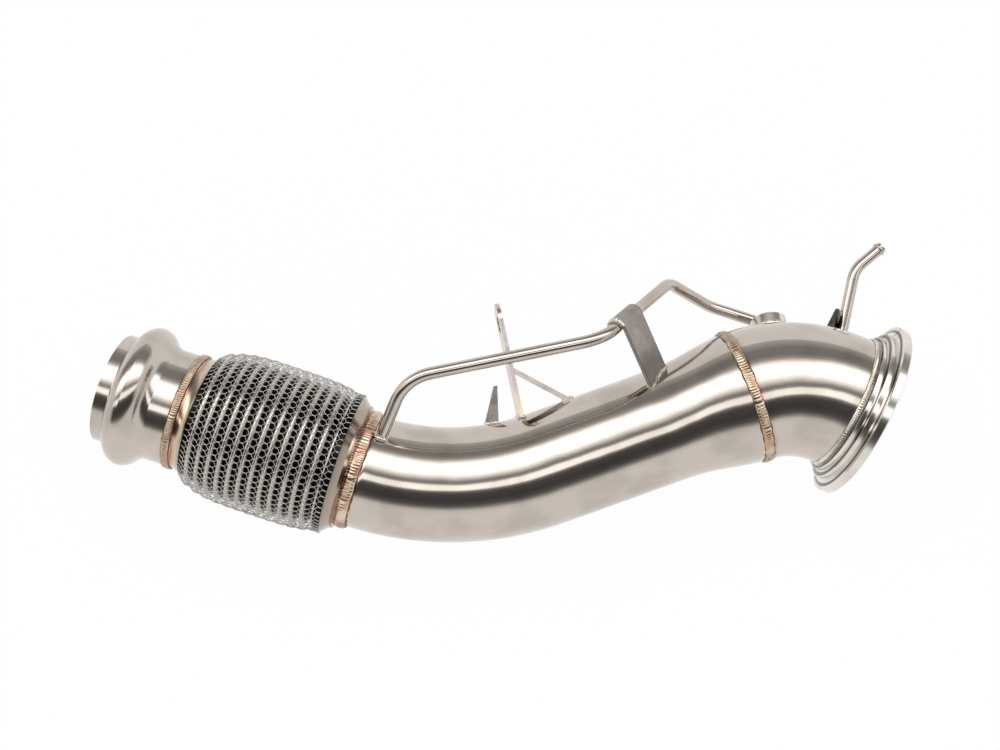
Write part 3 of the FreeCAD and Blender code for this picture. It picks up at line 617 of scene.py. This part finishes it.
def ring_bead(name, place, radius, width, height, ripples, material):
    """A bead round a pipe. Each ripple lifts it, and the groove beside it is marked for painted
    shade.
    """
    bead = bmesh.new()
    circle = bmesh.ops.create_circle(bead, segments=SECTION_SIDES, radius=MM)["verts"]
    flat = Matrix.Diagonal((height, width / 2, 1, 1))
    upright = Matrix.Rotation(math.radians(90), 4, "X")
    bmesh.ops.transform(bead, matrix=upright @ flat, verts=circle)
    for vert in circle:
        vert.co.x = max(vert.co.x, -SINK * MM)
    bmesh.ops.translate(bead, vec=(radius * MM, 0, 0), verts=circle)
    bmesh.ops.spin(
        bead, geom=bead.verts[:] + bead.edges[:], axis=(0, 0, 1), cent=(0, 0, 0),
        angle=2 * math.pi, steps=ripples * STEPS_PER_RIPPLE, use_merge=True,
    )
    # How deep in a groove each point lies, where the finish paints shade
    grooves = bead.verts.layers.float.new("groove")
    for vert in bead.verts:
        around = math.atan2(vert.co.y, vert.co.x)
        off = vert.co.z / (width / 2 * MM)
        proud = math.hypot(vert.co.x, vert.co.y) / MM - radius
        if proud <= 0:
            continue
        phase = ripples * around / 2 + wavering(DRIFT, around) + CRESCENT * off * off
        crest = abs(math.sin(phase))
        vert[grooves] = max(0, 1 - GROOVE_SHARPNESS * crest)
        ripple = (crest - RIPPLE_LEVEL) * RIPPLE_HEIGHT * (1 - EDGE_FADE * off * off)
        swell = wavering(SWELL, around)
        lift = 1 + (ripple + swell) * min(proud, 1) / radius
        vert.co.x *= lift
        vert.co.y *= lift
        vert.co.z *= wavering(STRETCH, around, 1)
    bmesh.ops.transform(bead, matrix=place, verts=bead.verts)
    return piece(name, bead, material)


# Weld, frame, radius of the pipe, width, height, ripples, finish and slot
RINGS = [
    ("outlet_weld", outlet_middle, SMALL_RADIUS, 5.8, 1.5, 150, outlet_bead, "copper_weld"),
    ("joint_weld", joint_middle, SMALL_RADIUS, 8.6, 2.4, 112, joint_bead, "copper_weld"),
    ("elbow_weld", elbow_weld, LARGE_RADIUS, 7.0, 1.2, 140, elbow_bead, "straw_weld"),
    ("flange_weld", flange_weld, LARGE_RADIUS, 3.4, 1.1, 190, flange_bead, "bright_weld"),
]
for label, place, radius, width, height, ripples, material, slot in RINGS:
    ring = ring_bead(label + "_ripples", place, radius, width, height, ripples, material)
    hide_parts(label)

# %% [markdown]
# ## The main pipe's skin
#
# The CAD pipe meets its cone at a sharp ring. A real pipe is flared on a mandrel, so the
# reflections sweep through that place without a step. The same tube is drawn here as one surface
# whose radius grows smoothly. A circle is extruded from frame to frame along the outside, then
# back through the bore to where it began, and its last ring is merged with its first.


# %% A circle extruded from frame to frame
def draw_tube(mesh, frames, radii, sides, caps):
    """A round tube through frames, with a radius in millimetres at each."""
    ring = bmesh.ops.create_circle(mesh, segments=sides, radius=1, cap_ends=caps)["verts"]
    here = frames[0] @ Matrix.Scale(radii[0] * MM, 4)
    bmesh.ops.transform(mesh, matrix=here, verts=ring)
    edges = list({edge for vert in ring for edge in vert.link_edges})
    for next_frame, radius in zip(frames[1:], radii[1:]):
        there = next_frame @ Matrix.Scale(radius * MM, 4)
        grown = bmesh.ops.extrude_edge_only(mesh, edges=edges)["geom"]
        verts = {item for item in grown if isinstance(item, bmesh.types.BMVert)}
        edges = [item for item in grown if isinstance(item, bmesh.types.BMEdge)]
        edges = [edge for edge in edges if set(edge.verts) <= verts]
        bmesh.ops.transform(mesh, matrix=there @ here.inverted(), verts=list(verts))
        here = there
    if caps:
        bmesh.ops.contextual_create(mesh, geom=edges)


# %% The main pipe
BEND_STEPS, PIPE_SIDES = 24, 160
ROUNDING = 12
# Stations past the bend: few where the pipe is straight, close together where it widens
STRAIGHT_STATIONS = [6, 20, 40, 60, 78]
WIDE_STATIONS = list(range(84, PIPE_LENGTH, 2))


def flared_radius(distance):
    """The outer radius past the bend, with the cone's two corners rounded off."""
    near = [distance + step - RUN_LENGTH for step in range(-ROUNDING, ROUNDING + 1)]
    share = sum(min(max(item / CONE_LENGTH, 0), 1) for item in near) / len(near)
    return SMALL_RADIUS + (LARGE_RADIUS - SMALL_RADIUS) * share


lengths = STRAIGHT_STATIONS + WIDE_STATIONS + [PIPE_LENGTH]
angles = [BEND_ANGLE * step / BEND_STEPS for step in range(BEND_STEPS + 1)]
frames = [bent(joint, BEND_RADIUS, angle) for angle in angles]
radii = [SMALL_RADIUS] * len(frames) + [flared_radius(distance) for distance in lengths]
frames += [shifted(bend_end, 0, 0, distance) for distance in lengths]
wall_frames = frames + frames[::-1] + frames[:1]
wall_radii = radii + [radius - WALL for radius in radii[::-1]] + radii[:1]
skin = bmesh.new()
draw_tube(skin, wall_frames, wall_radii, PIPE_SIDES, False)
bmesh.ops.remove_doubles(skin, verts=skin.verts, dist=0.01 * MM)
main_skin = piece("main_pipe_skin", skin, main_steel)
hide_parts("main_pipe")

# %% [markdown]
# ## The knitted wire sleeve
#
# The cover of the flexible section is knitted from steel wire: each wire runs along the pipe and
# swings from side to side, and meets its neighbour to the left and its neighbour to the right in
# turn, so the holes are six-sided. The sleeve lies over the ribs of the bellows. One pair of
# wires is drawn through its points with a six-sided section, and copies of the pair are then
# spun round the pipe, so the mesh is made by a few operators however many wires there are. Last,
# slow sines let the wires slip sideways a little, because no knitting is quite even.

# %% The outline that the wires follow
RIB_PITCH, RIB_COUNT, FIRST_RIB = 7.2, 13, 17.2
BRAID_START, BRAID_END = 10.9, 108.8
START_RADIUS, END_RADIUS = 41.7, 48.1
OUTLET_DROP, INLET_DROP = 5, 3
WIRE_RADIUS, WIRE_GAP = 0.19, 0.03
BRAID_RADIUS, RIB_HEIGHT, RIB_FOOT = 50.6, 0.8, 0.27


def rib_drop(index):
    """How much lower than the middle rib a rib lies."""
    middle = (RIB_COUNT - 1) / 2
    return abs((index - middle) / middle) ** 4 * (OUTLET_DROP if index < middle else INLET_DROP)


outline = [(BRAID_START, START_RADIUS)]
for index in range(RIB_COUNT):
    top = FIRST_RIB + index * RIB_PITCH
    low = BRAID_RADIUS - rib_drop(index)
    foot = RIB_FOOT * RIB_PITCH
    outline += [(top - foot, low), (top, low + RIB_HEIGHT), (top + foot, low)]
outline += [(BRAID_END, END_RADIUS)]
print("outline points", len(outline))


def sleeve_radius(distance):
    """The sleeve's outer radius at a distance along it."""
    for (start, low), (end, high) in zip(outline, outline[1:]):
        if distance <= end:
            return low + (high - low) * max(0, distance - start) / (end - start)
    return outline[-1][1]


# %% The wires
WIRES_AROUND = 70
WIRE_SIDES = 6
CELL = RIB_PITCH / 2
LINK = 1.1


def wire_points(side):
    """One wire's points. It swings between its neighbours; side is 1 or -1."""
    near = (WIRE_RADIUS + WIRE_GAP) / BRAID_RADIUS
    far = math.pi / WIRES_AROUND - near
    columns = int((BRAID_END - LINK - FIRST_RIB + CELL) / CELL) + 1
    points = [(BRAID_START, near * side)]
    for column in range(columns):
        middle = FIRST_RIB - CELL + column * CELL
        angle = side * (far if column % 2 else near)
        points += [(middle - LINK, angle), (middle + LINK, angle)]
    points.append((BRAID_END, angle))
    return [
        Vector((math.cos(angle), math.sin(angle), 0)) * (sleeve_radius(distance) - WIRE_RADIUS) * MM
        + Vector((0, 0, distance * MM))
        for distance, angle in points
    ]


def along_wire(point, way):
    """A frame at a wire's point. Its z follows the wire, and its x stays on the outer side."""
    ahead_here = way.normalized()
    beside = ahead_here.cross(Vector((point.x, point.y, 0))).normalized()
    turn_here = Matrix((beside.cross(ahead_here), beside, ahead_here)).transposed()
    return Matrix.Translation(point) @ turn_here.to_4x4()


knit = bmesh.new()
for side in (1, -1):
    points = wire_points(side)
    ways = [after - before for before, after in zip(points[:1] + points, points[1:] + points[-1:])]
    wire_frames = [along_wire(point, way) for point, way in zip(points, ways)]
    draw_tube(knit, wire_frames, [WIRE_RADIUS] * len(wire_frames), WIRE_SIDES, True)
copies = WIRES_AROUND - 1
bmesh.ops.spin(
    knit, geom=knit.verts[:] + knit.edges[:] + knit.faces[:], axis=(0, 0, 1), cent=(0, 0, 0),
    angle=2 * math.pi * copies / WIRES_AROUND, steps=copies, use_duplicate=True,
)
for vert in knit.verts:
    around = math.atan2(vert.co.y, vert.co.x)
    far_along = vert.co.z / MM
    slow = 0.006 * math.sin(far_along / 9 + 4 * around)
    slip = slow + 0.004 * math.sin(far_along / 4 - 11 * around)
    vert.co = Matrix.Rotation(slip, 3, "Z") @ vert.co
bmesh.ops.transform(knit, matrix=flex_start, verts=knit.verts)
print("wires", 2 * WIRES_AROUND)


# %% [markdown]
# ## Wire and bellows finishes
#
# The wire is bright and a little rough. Under it the bellows shines on its crests, and its folds
# are deep and painted near black as shade. How far a point lies from the pipe's axis tells crest
# from fold.

# %% Wire and bellows
# Heights from the pipe's axis over which the painted fold shade gives way to the crest's steel
FOLD_SHADE_FROM, FOLD_SHADE_TO = 45.3, 47.3

wire_steel, shade, place = new_finish("wire_steel")
tone = mixed(noise(place, 5), (0.76, 0.72, 0.67, 1), (0.36, 0.34, 0.31, 1))
metal(shade, tone, 0.2 + noise(place, 1.5) * 0.1, noise(place, 0.8), 0.02)

bellows_steel, shade, place = new_finish("bellows_steel")
fold = (along_axis(place, flex_start) - FIRST_RIB) / RIB_PITCH
middle_fold = (RIB_COUNT - 1) / 2
from_middle = shade.maths("ABSOLUTE", fold - middle_fold) / middle_fold
late = soft_step(fold, middle_fold - 0.1, middle_fold + 0.1)
drop = shade.maths("POWER", from_middle, 4) * (OUTLET_DROP - late * (OUTLET_DROP - INLET_DROP))
height = from_axis(place, flex_start) + drop + (noise(place, 4) - 0.5) * 0.6
# The folds are painted near black as shade, and the crests keep the steel's colour
crest = soft_step(height, FOLD_SHADE_FROM, FOLD_SHADE_TO)
tone = mixed(crest, (0.02, 0.018, 0.017, 1), (0.56, 0.535, 0.5, 1))
metal(shade, tone, 0.36 - crest * 0.25, noise(place, 3), 0.03)

sleeve = piece("knitted_sleeve", knit, wire_steel)
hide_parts("flex_braid")

# %% [markdown]
# ## The rounded folds of the bellows
#
# The CAD bellows has sharp folds. Rolled folds have round crests, and it is those that shine
# through the knitted wire. One wave along the pipe, with broad crests and narrow troughs, is spun
# round it as a thin closed wall.

# %% The bellows
FOLD_TOP, FOLD_DEPTH, FOLD_WALL = 48.8, 5.4, 0.6
FOLDS_START, FOLD_STEP, FOLD_STEPS = 15, 0.9, 100
FOLD_SIDES, CREST_POWER = 120, 1.4


def fold_radius(distance):
    """The bellows' outer radius: a crest under each rib of the sleeve."""
    count = (distance - FIRST_RIB) / RIB_PITCH
    wave = 0.5 - 0.5 * math.cos(2 * math.pi * count)
    return FOLD_TOP - rib_drop(min(max(count, 0), RIB_COUNT - 1)) - FOLD_DEPTH * wave**CREST_POWER


bellows = bmesh.new()
stations = [FOLDS_START + FOLD_STEP * step for step in range(FOLD_STEPS)]
profile = [(fold_radius(distance), distance) for distance in stations]
profile += [(radius - FOLD_WALL, distance) for radius, distance in reversed(profile)]
verts = [bellows.verts.new(Vector((radius, 0, distance)) * MM) for radius, distance in profile]
rim = [bellows.edges.new((verts[index - 1], verts[index])) for index in range(len(verts))]
bmesh.ops.spin(
    bellows, geom=verts + rim, axis=(0, 0, 1), cent=(0, 0, 0),
    angle=2 * math.pi, steps=FOLD_SIDES, use_merge=True,
)
bmesh.ops.transform(bellows, matrix=flex_start, verts=bellows.verts)
folds = piece("rolled_bellows", bellows, bellows_steel)
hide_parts("flex_bellows")

# %% [markdown]
# ## The thread of the sensor boss
#
# The boss takes a sensor with an M18 fine thread. A thread is one small ridge that climbs as it
# turns, which is what spin does when each step also moves along the axis. The boss stands on the
# elbow, so its frame is one of the elbow's frames, turned so that its z points out of the skin.

# %% The thread
PORT_PITCH, PORT_TURNS, PORT_STEPS = 1.5, 5.5, 36
BOSS_ANGLE, BOSS_CLOCK = -16.5, -28
# The ridge's three corners, each a distance from the axis and a height
RIDGE = ((8.4, 0.1), (7.85, 0.75), (8.4, 1.4))

boss_low, boss_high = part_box("sensor_boss")
on_elbow = bent(elbow_weld, ELBOW_RADIUS, BOSS_ANGLE)
clock = Matrix.Rotation(math.radians(BOSS_CLOCK), 4, "Z")
to_skin = Matrix(((0, 0, 1), (0, -1, 0), (1, 0, 0))).to_4x4()
boss = shifted(on_elbow @ clock, LARGE_RADIUS, 0, 0) @ to_skin
thread = bmesh.new()
corners = [thread.verts.new(Vector((radius, 0, height)) * MM) for radius, height in RIDGE]
rim = [thread.edges.new(pair) for pair in zip(corners, corners[1:] + corners[:1])]
climb = (0, 0, PORT_PITCH / PORT_STEPS * MM)
bmesh.ops.spin(
    thread, geom=corners + rim, axis=(0, 0, 1), cent=(0, 0, 0), dvec=climb,
    angle=2 * math.pi * PORT_TURNS, steps=int(PORT_STEPS * PORT_TURNS), use_merge=False,
)
bmesh.ops.holes_fill(thread, edges=thread.edges, sides=3)
bmesh.ops.transform(thread, matrix=boss, verts=thread.verts)
boss_steel = turned_rings("boss_steel", boss, 0.07, 0.4)
piece("sensor_thread", thread, boss_steel)
print("boss", list(boss_low), list(boss_high), list(boss.translation))

# %% [markdown]
# ## Finishes on the CAD pieces
#
# The last step gives each solid its finish, also those that the picture shows as a new piece.
# The clip behind the elbow is painted near black as shade. The liner has the same grey as the
# plates.

# %% Finishes on the CAD pieces
clip_painted_shade, shade, place = new_finish("clip_painted_shade")
# The clip is painted near black as shade
tone = clouded(place, 9, (0.01, 0.009, 0.008, 1), (0.03, 0.026, 0.023, 1), 0.6)
metal(shade, tone, 0.28 + noise(place, 2) * 0.1, noise(place, 6), 0.08)

FINISHES = {
    main_steel: ["main_pipe"],
    elbow_steel: ["elbow"],
    connector_steel: ["outlet_connector"],
    outlet_collar_steel: ["outlet_collar"],
    inlet_collar_steel: ["inlet_collar"],
    flange_steel: ["turbo_flange"],
    boss_steel: ["sensor_boss"],
    tube_steel: ["pressure_tube"],
    strap_steel: ["tube_strap"],
    hanger_steel: ["hanger_plate"],
    plate_steel: ["hanger_strut", "side_tab", "flex_liner"],
    clip_painted_shade: ["tube_clip"],
    bellows_steel: ["flex_bellows"],
    wire_steel: ["flex_braid"],
    outlet_bead: ["outlet_weld"],
    joint_bead: ["joint_weld"],
    elbow_bead: ["elbow_weld"],
    flange_bead: ["flange_weld"],
    small_bead: [
        "boss_weld", "tube_foot_weld", "strap_foot_weld", "strap_tube_weld",
        "hanger_weld", "strut_weld", "tab_weld", "clip_weld",
    ],
}
dressed = set()
for material, names in FINISHES.items():
    for name in names:
        nodes[name].data.materials.clear()
        nodes[name].data.materials.append(material)
        dressed.add(name)
print("CAD pieces without a finish", sorted(set(nodes) - dressed))
